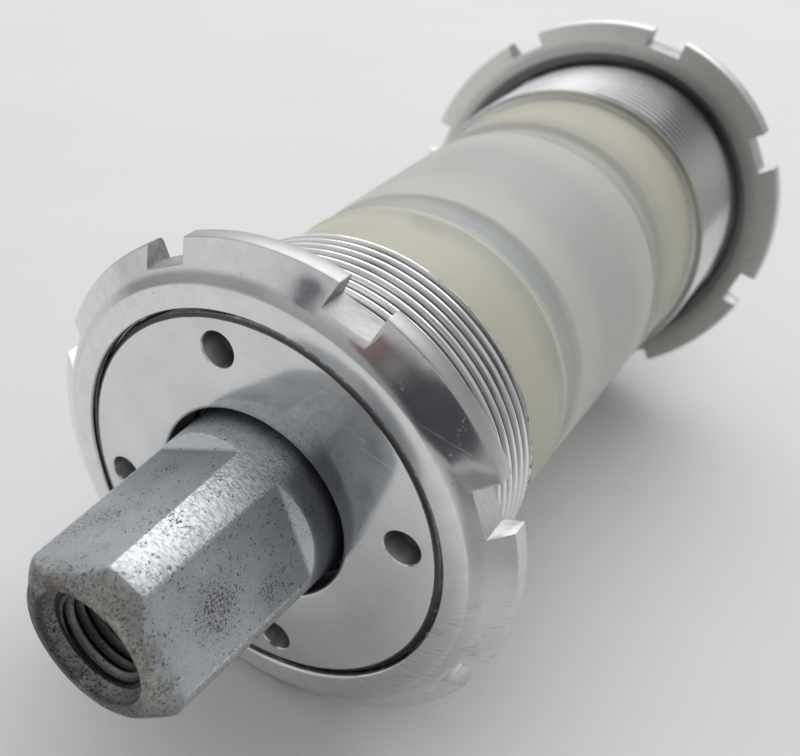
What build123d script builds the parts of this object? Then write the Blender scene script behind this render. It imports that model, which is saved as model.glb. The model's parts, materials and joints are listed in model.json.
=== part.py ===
from build123d import *
import math
import os

# Square-taper bottom bracket cartridge: spindle, two cups with lockrings, a dust sleeve,
# and two sealed ball bearings held by retaining rings. Millimetres, +Z up, spindle along Y.
# The origin is on the spindle axis, midway between the two spindle ends.
# Minus Y is the non-drive side, plus Y is the drive side.
# Names ending in _r are radii about the spindle axis or of a round feature.
# Names ending in _t are distances from the middle plane, so one number serves both sides.
# Outline points are (radius, t). Angles are in degrees, from +X towards +Z.

SIDES = {"non_drive_side": -1, "drive_side": 1}
select_tol = 0.01  # slack for picking edges by place or radius

# ---- bearing, 17 x 30 x 7 ----
bearing_mid_t = 31.00
bearing_half = 3.50
bearing_out_t = bearing_mid_t + bearing_half
bearing_in_t = bearing_mid_t - bearing_half
bearing_bore_r = 8.50
bearing_outer_r = 15.00
race_chamfer = 0.30
inner_land_r = 10.60
outer_land_r = 12.90
ball_r = 1.9845
ball_circle_r = (bearing_bore_r + bearing_outer_r) / 2
ball_count = 11
race_gap = 0.015
race_groove_r = 2.04
seal_seat_r = 13.45
seal_inner_r = inner_land_r + 0.05
seal_near = 2.75  # seal faces, measured from the bearing's middle
seal_far = 3.35
seal_lip_width = 0.35
seal_lip_share = 0.22  # part of the seal's thickness taken by the bevel
cage_inner_r = ball_circle_r - 0.75
cage_outer_r = ball_circle_r + 0.75
cage_half = 2.55
cage_pocket_r = 2.10
cage_cutter_length = 6.0

# ---- threads (1.37 in x 24 tpi) ----
thread_pitch = 25.4 / 24
flank_tan = math.tan(math.radians(27.5))
thread_margin = 0.10  # least plain length left after the last groove
thread_major_r = 17.40
thread_depth = 0.65
thread_root_flat = 0.12

# ---- cup ----
cup_face_t = 39.50
cup_face_r = 16.85
cup_lead_in = 0.55
cup_bore_r = 9.00
cup_thread_end_t = 23.40
cup_thread_chamfer = 0.35
spigot_r = 15.80
spigot_end_t = 16.10
spigot_chamfer = 0.30
bearing_seat_in_t = 26.50
seat_relief_r = bearing_outer_r + 0.10
clip_recess_r = 13.90
clip_recess_t = 36.00
pin_hole_r = 1.50
pin_circle_r = 14.20
pin_hole_depth = 2.50
pin_hole_count = 4
pin_hole_start = 13.5
cup_edge_chamfer = 0.15

# ---- lockring ----
ring_r = 22.40
ring_thick = 3.60
ring_rim = 1.70
ring_rim_chamfer = 0.20
ring_land_r = 19.43
ring_bore_r = 17.46
ring_front_chamfer_r = 17.75
ring_back_chamfer_r = 19.00
ring_groove_depth = 0.50
notch_count = 8
notch_width = 4.00
notch_floor_r = 20.60
notch_cutter_length = 5.0
ring_back_t = {-1: 36.10, 1: 33.30}  # by side
notch_start = {-1: 25.2, 1: 32.6}

# ---- dust sleeve ----
sleeve_r = 16.35
sleeve_end_t = cup_thread_end_t - 0.10
sleeve_seat_r = spigot_r + 0.03
sleeve_inner_r = 15.20
sleeve_step_t = spigot_end_t - 0.10
groove_outer_t = 13.90
groove_inner_t = 9.50
groove_r = 15.72
groove_wall_run = 0.45
groove_fillet = 0.45
sleeve_rim_chamfer = 0.20

# ---- spindle ----
spindle_half = 58.75
end_face_r = 5.30
end_arc_mid = (6.72, spindle_half - 0.58)
corner_end_r = 7.64
corner_end_t = 56.90
corner_root_r = 8.39
corner_root_t = 36.60
journal_r = bearing_bore_r
journal_out_t = 36.45
shoulder_r = 10.20
shoulder_in_t = 25.30
shoulder_chamfer = 0.80
waist_r = 8.20
waist_t = 20.00
flat_half_end = 6.40  # half the width across flats, at flat_end_t
flat_end_t = 56.50
flat_root_t = 42.50
runout_r = journal_r + 0.40
runout_t = 41.63
taper = math.tan(math.radians(2.0))
square_start = 24.6
flat_overrun = 3.5  # how far the flat cutter runs past flat_end_t
flat_cutter_r = 12.0
flat_cutter_half = 9.0
bolt_r = 3.50
bolt_depth = 24.0
counterbore_r = 4.40
counterbore_depth = 1.60
hole_chamfer = 0.30

# ---- retaining ring ----
clip_groove_r = 8.00
clip_groove_out_t = 35.60
clip_in_t = bearing_out_t + 0.01
clip_thick = 1.00
clip_inner_r = clip_groove_r + 0.02
clip_outer_r = 10.30
clip_gap = 3.2
clip_gap_cutter_z = 10
clip_gap_cutter_length = 12
lug_r = 1.45
lug_hole_r = 0.60
lug_circle_r = clip_outer_r - 0.35


# ---------------------------------------------------------------- helpers
def on_side(points, side):
    """(radius, t) points as (x, y) points on one side of the middle plane."""
    return [(r, side * t) for r, t in points]


def mirrored(points):
    """The points, followed by their mirror image back from the middle plane."""
    return points + on_side(reversed(points), -1)


def cross_plane(side, t):
    """A plane across the spindle; its normal is -Y on both sides."""
    return Plane.XZ.offset(-side * t)


def radial_plane(angle):
    """A sketch plane whose x runs outward at this angle and whose y runs along the spindle."""
    a = math.radians(angle)
    return Plane(
        origin=(0, 0, 0),
        x_dir=(math.cos(a), 0, math.sin(a)),
        z_dir=(-math.sin(a), 0, math.cos(a)),
    )


def thread_grooves(crest_r, root_r, root_flat, t_out, t_in):
    """Points of V grooves between two radii, from t_out inward."""
    flank = abs(crest_r - root_r) * flank_tan
    width = 2 * flank + root_flat
    land = thread_pitch - width
    points = []
    t = t_out
    while t - land - width > t_in + thread_margin:
        t -= land
        points += [(crest_r, t), (root_r, t - flank)]
        if root_flat:
            points.append((root_r, t - flank - root_flat))
        points.append((crest_r, t - width))
        t -= width
    return points


def face_circles(builder, side, t, max_r):
    """Circular edges up to max_r that lie in the end face at t."""
    return (
        builder.edges()
        .filter_by(GeomType.CIRCLE)
        .filter_by_position(Axis.Y, side * t - select_tol, side * t + select_tol)
        .filter_by(lambda e: e.radius < max_r + select_tol)
    )


# ---------------------------------------------------------------- cups and lockrings
def make_cup(side):
    thread_out_t = cup_face_t - cup_lead_in
    outline = [
        (cup_bore_r, cup_face_t),
        (cup_face_r, cup_face_t),
        (thread_major_r, thread_out_t),
        *thread_grooves(
            thread_major_r,
            thread_major_r - thread_depth,
            thread_root_flat,
            thread_out_t,
            cup_thread_end_t,
        ),
        (thread_major_r, cup_thread_end_t + cup_thread_chamfer),
        (thread_major_r - cup_thread_chamfer, cup_thread_end_t),
        (spigot_r, cup_thread_end_t),
        (spigot_r, spigot_end_t + spigot_chamfer),
        (spigot_r - spigot_chamfer, spigot_end_t),
        (seat_relief_r, spigot_end_t),
        (seat_relief_r, bearing_seat_in_t),
        (bearing_outer_r, bearing_seat_in_t),
        (bearing_outer_r, bearing_out_t),
        (clip_recess_r, bearing_out_t),
        (clip_recess_r, clip_recess_t),
        (cup_bore_r, clip_recess_t),
    ]
    with BuildPart() as cup:
        with BuildSketch(Plane.XY):
            with BuildLine():
                Polyline(*on_side(outline, side), close=True)
            make_face()
        revolve(axis=Axis.Y)
        # pin-spanner holes, blind, in the outer face
        with BuildSketch(cross_plane(side, cup_face_t)):
            with PolarLocations(pin_circle_r, pin_hole_count, start_angle=pin_hole_start):
                Circle(pin_hole_r)
        extrude(amount=side * pin_hole_depth, mode=Mode.SUBTRACT)
        # broken edges on the pin holes and on the bore
        chamfer(face_circles(cup, side, cup_face_t, cup_bore_r), length=cup_edge_chamfer)
    return cup.part


def make_lockring(side):
    back_t = ring_back_t[side]
    front_t = back_t + ring_thick
    # 45 degree chamfers lead into the bore from both faces
    bore_out_t = front_t - (ring_front_chamfer_r - ring_bore_r)
    bore_in_t = back_t + (ring_back_chamfer_r - ring_bore_r)
    grooves = thread_grooves(
        ring_bore_r, ring_bore_r + ring_groove_depth, 0, bore_out_t, bore_in_t
    )
    outline = [
        (ring_front_chamfer_r, front_t),
        (ring_land_r, front_t),
        (ring_r, back_t + ring_rim),
        (ring_r, back_t + ring_rim_chamfer),
        (ring_r - ring_rim_chamfer, back_t),
        (ring_back_chamfer_r, back_t),
        (ring_bore_r, bore_in_t),
        *reversed(grooves),
        (ring_bore_r, bore_out_t),
    ]
    notch_mid_r = notch_floor_r + notch_cutter_length / 2
    with BuildPart() as ring:
        with BuildSketch(Plane.XY):
            with BuildLine():
                Polyline(*on_side(outline, side), close=True)
            make_face()
        revolve(axis=Axis.Y)
        # hook-spanner notches, square-cornered, through the rim and the bevel
        with BuildSketch(cross_plane(side, back_t + ring_thick / 2)):
            with PolarLocations(notch_mid_r, notch_count, start_angle=notch_start[side]):
                Rectangle(notch_cutter_length, notch_width)
        extrude(amount=ring_thick, both=True, mode=Mode.SUBTRACT)
    return ring.part


# ---------------------------------------------------------------- dust sleeve
def make_dust_sleeve():
    """A tube with a wider seat in each end and a shallow groove round each half."""
    half_outline = [
        (sleeve_inner_r, sleeve_step_t),
        (sleeve_seat_r, sleeve_step_t),
        (sleeve_seat_r, sleeve_end_t),
        (sleeve_r, sleeve_end_t),
        (sleeve_r, groove_outer_t),
        (groove_r, groove_outer_t - groove_wall_run),
        (groove_r, groove_inner_t + groove_wall_run),
        (sleeve_r, groove_inner_t),
    ]
    with BuildPart() as sleeve:
        with BuildSketch(Plane.XY):
            with BuildLine():
                Polyline(*mirrored(half_outline), close=True)
            make_face()
        revolve(axis=Axis.Y)
        # soft moulded shoulders on both sides of each groove
        reach = groove_outer_t + select_tol
        shoulders = (
            sleeve.edges()
            .filter_by(GeomType.CIRCLE)
            .filter_by_position(Axis.Y, -reach, reach)
            .filter_by(lambda e: e.radius > sleeve_r - select_tol)
        )
        fillet(shoulders, radius=groove_fillet)
        # outer edges of the two ends
        rims = (
            sleeve.edges()
            .filter_by(GeomType.CIRCLE)
            .filter_by(lambda e: e.radius > sleeve_r - select_tol)
            .group_by(Axis.Y)
        )
        chamfer(rims[0] + rims[-1], length=sleeve_rim_chamfer)
    return sleeve.part


# ---------------------------------------------------------------- spindle
def make_spindle():
    end_arc = [(end_face_r, spindle_half), end_arc_mid, (corner_end_r, corner_end_t)]
    half_body = [
        (corner_end_r, corner_end_t),
        (corner_root_r, corner_root_t),
        (journal_r, journal_out_t),
        (journal_r, clip_groove_out_t),
        (clip_groove_r, clip_groove_out_t),
        (clip_groove_r, bearing_out_t),
        (journal_r, bearing_out_t),
        (journal_r, bearing_in_t),
        (shoulder_r, bearing_in_t),
        (shoulder_r, shoulder_in_t),
        (shoulder_r - shoulder_chamfer, shoulder_in_t - shoulder_chamfer),
        (waist_r, waist_t),
    ]
    # what one flat removes: the tapered flat, then a steep run-out wall
    flat_cut = [
        (flat_half_end - taper * flat_overrun, flat_end_t + flat_overrun),
        (flat_half_end + taper * (flat_end_t - flat_root_t), flat_root_t),
        (runout_r, runout_t),
        (flat_cutter_r, runout_t),
        (flat_cutter_r, flat_end_t + flat_overrun),
    ]
    with BuildPart() as spindle:
        with BuildSketch(Plane.XY):
            with BuildLine():
                Line((0, -spindle_half), (0, spindle_half))
                Line((0, spindle_half), (end_face_r, spindle_half))
                ThreePointArc(*end_arc)
                Polyline(*mirrored(half_body))
                ThreePointArc(*on_side(reversed(end_arc), -1))
                Line((end_face_r, -spindle_half), (0, -spindle_half))
            make_face()
        revolve(axis=Axis.Y)
        # four tapered flats at each end
        for side in SIDES.values():
            for k in range(4):
                with BuildSketch(radial_plane(square_start + 90 * k)):
                    with BuildLine():
                        Polyline(*on_side(flat_cut, side), close=True)
                    make_face()
                extrude(amount=flat_cutter_half, both=True, mode=Mode.SUBTRACT)
        # bolt hole and its smooth counterbore, with a broken rim
        for side in SIDES.values():
            for radius, depth in ((bolt_r, bolt_depth), (counterbore_r, counterbore_depth)):
                with BuildSketch(cross_plane(side, spindle_half)):
                    Circle(radius)
                extrude(amount=side * depth, mode=Mode.SUBTRACT)
            rim = face_circles(spindle, side, spindle_half, counterbore_r)
            chamfer(rim, length=hole_chamfer)
    return spindle.part


# ---------------------------------------------------------------- bearings
def make_race(side, land_r, outward, body):
    """A race from its body outline, closed by the ball groove in its land.

    outward is 1 where the groove cuts away from the axis and -1 where it cuts towards it.
    """
    bottom_r = ball_circle_r + outward * (ball_r + race_gap)
    centre_r = bottom_r - outward * race_groove_r
    groove_half = math.sqrt(race_groove_r**2 - (land_r - centre_r) ** 2)
    groove_out = (land_r, bearing_mid_t + groove_half)
    groove_in = (land_r, bearing_mid_t - groove_half)
    with BuildPart() as race:
        with BuildSketch(Plane.XY):
            with BuildLine():
                Polyline(*on_side([groove_out, *body, groove_in], side))
                arc = [groove_in, (bottom_r, bearing_mid_t), groove_out]
                ThreePointArc(*on_side(arc, side))
            make_face()
        revolve(axis=Axis.Y)
    return race.part


def make_inner_race(side):
    body = [
        (inner_land_r, bearing_out_t),
        (bearing_bore_r + race_chamfer, bearing_out_t),
        (bearing_bore_r, bearing_out_t - race_chamfer),
        (bearing_bore_r, bearing_in_t + race_chamfer),
        (bearing_bore_r + race_chamfer, bearing_in_t),
        (inner_land_r, bearing_in_t),
    ]
    return make_race(side, inner_land_r, -1, body)


def make_outer_race(side):
    body = [
        (outer_land_r, bearing_mid_t + seal_near),
        (seal_seat_r, bearing_mid_t + seal_near),
        (seal_seat_r, bearing_out_t),
        (bearing_outer_r - race_chamfer, bearing_out_t),
        (bearing_outer_r, bearing_out_t - race_chamfer),
        (bearing_outer_r, bearing_in_t + race_chamfer),
        (bearing_outer_r - race_chamfer, bearing_in_t),
        (seal_seat_r, bearing_in_t),
        (seal_seat_r, bearing_mid_t - seal_near),
        (outer_land_r, bearing_mid_t - seal_near),
    ]
    return make_race(side, outer_land_r, 1, body)


def make_seal(side, facing):
    """A rubber washer with a thin lip that runs just off the inner race.

    facing is 1 for the bearing's outer face and -1 for the face nearer the middle plane.
    """
    near_t = bearing_mid_t + facing * seal_near
    far_t = bearing_mid_t + facing * seal_far
    outline = [
        (seal_seat_r, near_t),
        (seal_seat_r, far_t),
        (seal_inner_r + seal_lip_width, far_t),
        (seal_inner_r, far_t - seal_lip_share * (far_t - near_t)),
        (seal_inner_r, near_t),
    ]
    with BuildPart() as seal:
        with BuildSketch(Plane.XY):
            with BuildLine():
                Polyline(*on_side(outline, side), close=True)
            make_face()
        revolve(axis=Axis.Y)
    return seal.part


def ball_points(side):
    angles = [2 * math.pi * k / ball_count for k in range(ball_count)]
    return [
        (ball_circle_r * math.cos(a), side * bearing_mid_t, ball_circle_r * math.sin(a))
        for a in angles
    ]


def make_balls(side):
    with BuildPart() as balls:
        with Locations(*ball_points(side)):
            Sphere(ball_r)
    return balls.part


def make_cage(side):
    with BuildPart() as cage:
        with BuildSketch(cross_plane(side, bearing_mid_t)):
            Circle(cage_outer_r)
            Circle(cage_inner_r, mode=Mode.SUBTRACT)
        extrude(amount=cage_half, both=True)
        # one round pocket per ball, bored radially
        pockets = [
            Plane(origin=(x, y, z), x_dir=(0, 1, 0), z_dir=(x, 0, z))
            for x, y, z in ball_points(side)
        ]
        with Locations(*pockets):
            Cylinder(cage_pocket_r, cage_cutter_length, mode=Mode.SUBTRACT)
    return cage.part


# ---------------------------------------------------------------- retaining rings
def make_retaining_ring(side):
    """An external retaining ring: a C open towards +Z, with two drilled lugs."""
    lug_spread = math.degrees(math.asin((clip_gap / 2 + lug_r) / lug_circle_r))
    lug_angles = (90 - lug_spread, 90 + lug_spread)
    with BuildPart() as clip:
        with BuildSketch(cross_plane(side, clip_in_t)):
            Circle(clip_outer_r)
            for angle in lug_angles:
                with PolarLocations(lug_circle_r, 1, start_angle=angle):
                    Circle(lug_r)
            Circle(clip_inner_r, mode=Mode.SUBTRACT)
            with Locations((0, clip_gap_cutter_z)):
                Rectangle(clip_gap, clip_gap_cutter_length, mode=Mode.SUBTRACT)
            for angle in lug_angles:
                with PolarLocations(lug_circle_r, 1, start_angle=angle):
                    Circle(lug_hole_r, mode=Mode.SUBTRACT)
        extrude(amount=-side * clip_thick)
    return clip.part


# ---------------------------------------------------------------- build and export
pieces = {"spindle": make_spindle(), "dust_sleeve": make_dust_sleeve()}
for side_name, side in SIDES.items():
    pieces |= {
        f"{side_name}_cup": make_cup(side),
        f"{side_name}_lockring": make_lockring(side),
        f"{side_name}_bearing_inner_race": make_inner_race(side),
        f"{side_name}_bearing_outer_race": make_outer_race(side),
        f"{side_name}_outer_seal": make_seal(side, facing=1),
        f"{side_name}_inner_seal": make_seal(side, facing=-1),
        f"{side_name}_balls": make_balls(side),
        f"{side_name}_ball_cage": make_cage(side),
        f"{side_name}_retaining_ring": make_retaining_ring(side),
    }

os.makedirs("parts", exist_ok=True)
for name, part in pieces.items():
    part.label = name
    export_step(part, f"parts/{name}.step")
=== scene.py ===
import bpy, bmesh, json, math
import numpy as np
from mathutils import Vector, Matrix

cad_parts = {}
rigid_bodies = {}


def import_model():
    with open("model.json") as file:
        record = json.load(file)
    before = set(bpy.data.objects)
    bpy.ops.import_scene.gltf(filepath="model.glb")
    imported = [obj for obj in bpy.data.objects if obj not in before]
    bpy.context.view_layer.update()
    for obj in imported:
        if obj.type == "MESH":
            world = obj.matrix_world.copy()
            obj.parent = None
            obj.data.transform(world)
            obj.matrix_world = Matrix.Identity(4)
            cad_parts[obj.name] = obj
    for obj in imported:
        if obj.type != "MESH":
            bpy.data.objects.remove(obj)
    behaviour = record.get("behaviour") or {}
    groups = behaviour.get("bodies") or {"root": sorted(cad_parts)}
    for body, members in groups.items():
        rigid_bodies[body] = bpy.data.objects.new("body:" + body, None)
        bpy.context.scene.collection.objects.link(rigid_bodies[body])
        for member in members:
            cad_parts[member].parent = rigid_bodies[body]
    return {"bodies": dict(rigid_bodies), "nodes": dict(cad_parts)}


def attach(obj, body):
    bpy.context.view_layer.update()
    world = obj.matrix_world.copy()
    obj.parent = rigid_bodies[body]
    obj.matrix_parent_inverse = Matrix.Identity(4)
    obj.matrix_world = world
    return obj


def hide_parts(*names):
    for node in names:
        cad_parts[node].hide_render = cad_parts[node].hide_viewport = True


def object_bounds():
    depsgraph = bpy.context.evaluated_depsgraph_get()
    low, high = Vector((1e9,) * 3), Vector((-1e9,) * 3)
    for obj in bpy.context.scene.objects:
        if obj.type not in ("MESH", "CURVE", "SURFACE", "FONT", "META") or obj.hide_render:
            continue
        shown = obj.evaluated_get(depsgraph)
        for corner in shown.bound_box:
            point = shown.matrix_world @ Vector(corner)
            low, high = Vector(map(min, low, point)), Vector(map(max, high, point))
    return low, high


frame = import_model()
cad_lo, cad_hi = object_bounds()
NODES, BODIES = frame["nodes"], frame["bodies"]
MM = 0.001
TAU = 2 * math.pi
scene = bpy.context.scene


# ------------------------------------------------------------------ mesh help
def new_object(name, verts, faces, smooth=True, sharp=None):
    """verts in millimetres."""
    me = bpy.data.meshes.new(name)
    me.from_pydata([tuple(v) for v in (np.asarray(verts, float) * MM)], [], faces)
    me.validate()
    me.update()
    ob = bpy.data.objects.new(name, me)
    scene.collection.objects.link(ob)
    if smooth:
        me.shade_smooth()
        if sharp:
            me.set_sharp_from_angle(angle=math.radians(sharp))
    return ob


def pol(r, phi, y):
    return (r * math.cos(phi), y, r * math.sin(phi))


def revolve(name, profile, n=360, closed=True, sharp=28, flip=False):
    """profile is a list of (radius, y) in mm; closed joins the last point to the first. A zero radius makes a pole."""
    verts, rings = [], []
    for r, y in profile:
        if r < 1e-6:
            rings.append([len(verts)] * n)
            verts.append((0.0, y, 0.0))
        else:
            base = len(verts)
            rings.append([base + i for i in range(n)])
            for i in range(n):
                verts.append(pol(r, TAU * i / n, y))
    faces = []
    pairs = list(zip(rings, rings[1:])) + ([(rings[-1], rings[0])] if closed else [])
    for a, b in pairs:
        for i in range(n):
            j = (i + 1) % n
            f = [a[i], a[j], b[j], b[i]]
            g = []
            for k in f:
                if k not in g:
                    g.append(k)
            if len(g) >= 3:
                faces.append(g if not flip else g[::-1])
    ob = new_object(name, verts, faces)
    tidy(ob, sharp)
    return ob


def tidy(ob, sharp=28, weld=1e-7):
    bm = bmesh.new()
    bm.from_mesh(ob.data)
    bmesh.ops.remove_doubles(bm, verts=bm.verts, dist=weld)
    bmesh.ops.dissolve_degenerate(bm, dist=weld, edges=bm.edges)
    bmesh.ops.recalc_face_normals(bm, faces=bm.faces)
    bm.to_mesh(ob.data)
    bm.free()
    ob.data.shade_smooth()
    ob.data.set_sharp_from_angle(angle=math.radians(sharp))
    ob.data.update()


def apply_modifiers(ob):
    dg = bpy.context.evaluated_depsgraph_get()
    dg.update()
    me = bpy.data.meshes.new_from_object(ob.evaluated_get(dg), depsgraph=dg)
    ob.modifiers.clear()
    old = ob.data
    ob.data = me
    bpy.data.meshes.remove(old)


def cut(ob, cutter):
    m = ob.modifiers.new("cut", "BOOLEAN")
    m.operation = "DIFFERENCE"
    m.solver = "EXACT"
    m.object = cutter
    apply_modifiers(ob)
    bpy.data.objects.remove(cutter)


def soften(ob, width, segments=2, angle=28):
    """A real rounded edge on every sharp edge, width in mm."""
    m = ob.modifiers.new("soft", "BEVEL")
    m.width = width * MM
    m.segments = segments
    m.limit_method = "ANGLE"
    m.angle_limit = math.radians(angle)
    m.miter_outer = "MITER_ARC"
    m.harden_normals = False
    m.use_clamp_overlap = True
    apply_modifiers(ob)
    ob.data.shade_smooth()
    ob.data.set_sharp_from_angle(angle=math.radians(40))


def join(name, parts):
    verts, faces, base = [], [], 0
    me = bpy.data.meshes.new(name)
    bm = bmesh.new()
    for p in parts:
        bm.from_mesh(p.data)
    bm.to_mesh(me)
    bm.free()
    for p in parts:
        bpy.data.objects.remove(p)
    ob = bpy.data.objects.new(name, me)
    scene.collection.objects.link(ob)
    me.shade_smooth()
    me.set_sharp_from_angle(angle=math.radians(40))
    return ob


def prism(name, base, height_vec):
    """Closed prism from a polygon of 3D points in mm, extruded by height_vec, for cutting."""
    n = len(base)
    top = [tuple(np.add(p, height_vec)) for p in base]
    faces = [list(range(n))[::-1], list(range(n, 2 * n))]
    for i in range(n):
        j = (i + 1) % n
        faces.append([i, j, n + j, n + i])
    ob = new_object(name, list(base) + top, faces, smooth=False)
    bm = bmesh.new()
    bm.from_mesh(ob.data)
    bmesh.ops.recalc_face_normals(bm, faces=bm.faces)
    bm.to_mesh(ob.data)
    bm.free()
    return ob


def merge_cutters(name, obs):
    bm = bmesh.new()
    for o in obs:
        bm.from_mesh(o.data)
    me = bpy.data.meshes.new(name)
    bm.to_mesh(me)
    bm.free()
    for o in obs:
        bpy.data.objects.remove(o)
    ob = bpy.data.objects.new(name, me)
    scene.collection.objects.link(ob)
    return ob


def rod(name, r, phi, at, y0, y1, n=48):
    """A closed cylinder along Y, for cutting. at is the radial distance of its axis."""
    cx, cz = at * math.cos(phi), at * math.sin(phi)
    verts = []
    for y in (y0, y1):
        for i in range(n):
            a = TAU * i / n
            verts.append((cx + r * math.cos(a), y, cz + r * math.sin(a)))
    faces = [list(range(n)), list(range(n, 2 * n))[::-1]]
    for i in range(n):
        j = (i + 1) % n
        faces.append([i, n + i, n + j, j])
    ob = new_object(name, verts, faces, smooth=False)
    bm = bmesh.new()
    bm.from_mesh(ob.data)
    bmesh.ops.recalc_face_normals(bm, faces=bm.faces)
    bm.to_mesh(ob.data)
    bm.free()
    return ob


def arc(c, r, a0, a1, n):
    """Points on a circle in the (radius, y) plane, angles in degrees from +radius towards +y."""
    return [
        (
            c[0] + r * math.cos(math.radians(a0 + (a1 - a0) * i / n)),
            c[1] + r * math.sin(math.radians(a0 + (a1 - a0) * i / n)),
        )
        for i in range(n + 1)
    ]


# ------------------------------------------------------------------ node help
class Mat:
    def __init__(self, name):
        self.m = bpy.data.materials.new(name)
        self.m.use_nodes = True
        self.t = self.m.node_tree
        self.t.nodes.clear()
        self.out = self.t.nodes.new("ShaderNodeOutputMaterial")
        tc = self.t.nodes.new("ShaderNodeTexCoord")
        mp = self.t.nodes.new("ShaderNodeVectorMath")
        mp.operation = "SCALE"
        mp.inputs[3].default_value = 1000.0
        self.t.links.new(tc.outputs["Object"], mp.inputs[0])
        self.co = mp.outputs[0]  # object coordinates in millimetres
        sp = self.t.nodes.new("ShaderNodeSeparateXYZ")
        self.t.links.new(self.co, sp.inputs[0])
        self.x, self.y, self.z = sp.outputs[0], sp.outputs[1], sp.outputs[2]
        self._r = self._phi = None

    def link(self, sock, val):
        if isinstance(val, bpy.types.NodeSocket):
            self.t.links.new(val, sock)
        else:
            if hasattr(sock.default_value, "__len__") and not hasattr(val, "__len__"):
                n = len(sock.default_value)
                sock.default_value = [val] * 3 + ([1.0] if n == 4 else [])
            elif hasattr(val, "__len__") and len(sock.default_value) == 4 and len(val) == 3:
                sock.default_value = list(val) + [1.0]
            else:
                sock.default_value = val

    def math(self, op, a, b=0.0, c=0.0, clamp=False):
        n = self.t.nodes.new("ShaderNodeMath")
        n.operation = op
        n.use_clamp = clamp
        for i, v in enumerate((a, b, c)):
            self.link(n.inputs[i], v)
        return n.outputs[0]

    def add(self, a, b): return self.math("ADD", a, b)
    def sub(self, a, b): return self.math("SUBTRACT", a, b)
    def mul(self, a, b): return self.math("MULTIPLY", a, b)
    def mx(self, a, b): return self.math("MAXIMUM", a, b)
    def mn(self, a, b): return self.math("MINIMUM", a, b)

    def ramp(self, v, lo, hi, out0=0.0, out1=1.0, smooth=True):
        n = self.t.nodes.new("ShaderNodeMapRange")
        n.interpolation_type = "SMOOTHSTEP" if smooth else "LINEAR"
        n.clamp = True
        for i, x in enumerate((v, lo, hi, out0, out1)):
            self.link(n.inputs[i], x)
        return n.outputs[0]

    @property
    def r(self):
        if self._r is None:
            self._r = self.math("SQRT", self.add(self.mul(self.x, self.x), self.mul(self.z, self.z)))
        return self._r

    @property
    def phi(self):
        if self._phi is None:
            self._phi = self.math("ARCTAN2", self.z, self.x)
        return self._phi

    def vec(self, x, y, z):
        n = self.t.nodes.new("ShaderNodeCombineXYZ")
        for i, v in enumerate((x, y, z)):
            self.link(n.inputs[i], v)
        return n.outputs[0]

    def scaled(self, sx, sy, sz, base=None):
        n = self.t.nodes.new("ShaderNodeVectorMath")
        n.operation = "MULTIPLY"
        self.t.links.new(base or self.co, n.inputs[0])
        n.inputs[1].default_value = (sx, sy, sz)
        return n.outputs[0]

    def noise(self, scale, detail=2.0, rough=0.5, vec=None, dist=0.0):
        n = self.t.nodes.new("ShaderNodeTexNoise")
        self.t.links.new(vec or self.co, n.inputs["Vector"])
        n.inputs["Scale"].default_value = scale
        n.inputs["Detail"].default_value = detail
        n.inputs["Roughness"].default_value = rough
        n.inputs["Distortion"].default_value = dist
        return n.outputs[0]

    def voronoi(self, scale, vec=None, feature="F1", rnd=1.0):
        n = self.t.nodes.new("ShaderNodeTexVoronoi")
        n.feature = feature
        self.t.links.new(vec or self.co, n.inputs["Vector"])
        n.inputs["Scale"].default_value = scale
        n.inputs["Randomness"].default_value = rnd
        return n.outputs["Distance"]

    def polar(self, kr, kphi, ky=1.0):
        """Coordinates that run round the spindle axis: (r*kr, phi*kphi, y*ky)."""
        return self.vec(self.mul(self.r, kr), self.mul(self.phi, kphi), self.mul(self.y, ky))

    def spot(self, x, y, z, inner, outer):
        """1 near a point of the part, 0 past the outer radius; millimetres."""
        n = self.t.nodes.new("ShaderNodeVectorMath")
        n.operation = "DISTANCE"
        self.t.links.new(self.co, n.inputs[0])
        n.inputs[1].default_value = (x, y, z)
        return self.ramp(n.outputs["Value"], inner, outer, 1.0, 0.0)

    def mix(self, f, a, b):
        n = self.t.nodes.new("ShaderNodeMix")
        n.data_type = "RGBA"
        self.link(n.inputs[0], f)
        self.link(n.inputs[6], a)
        self.link(n.inputs[7], b)
        return n.outputs[2]

    def mixf(self, f, a, b):
        n = self.t.nodes.new("ShaderNodeMix")
        n.data_type = "FLOAT"
        self.link(n.inputs[0], f)
        self.link(n.inputs[2], a)
        self.link(n.inputs[3], b)
        return n.outputs[0]

    def bump(self, h, strength=0.3, dist=0.05, normal=None):
        """dist in millimetres."""
        n = self.t.nodes.new("ShaderNodeBump")
        n.inputs["Strength"].default_value = strength
        n.inputs["Distance"].default_value = dist * MM
        self.t.links.new(h, n.inputs["Height"])
        if normal is not None:
            self.t.links.new(normal, n.inputs["Normal"])
        return n.outputs[0]

    def bsdf(self, **kw):
        n = self.t.nodes.new("ShaderNodeBsdfPrincipled")
        for k, v in kw.items():
            self.link(n.inputs[k.replace("_", " ")], v)
        return n.outputs[0]

    def node(self, kind):
        return self.t.nodes.new(kind)

    def done(self, shader):
        self.t.links.new(shader, self.out.inputs["Surface"])
        return self.m


def hairlines(M, deg, across=7.0, along=0.22, lo=0.70, hi=0.76):
    """Sparse, straight, fine scratches at one angle in the plane square to the spindle."""
    c, s = math.cos(math.radians(deg)), math.sin(math.radians(deg))
    u = M.add(M.mul(M.x, c), M.mul(M.z, s))
    v = M.sub(M.mul(M.z, c), M.mul(M.x, s))
    n = M.noise(1.0, 1.0, 0.4, M.vec(M.mul(u, across), M.mul(v, along), M.mul(M.y, 0.6)))
    return M.ramp(n, lo, hi)


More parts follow.
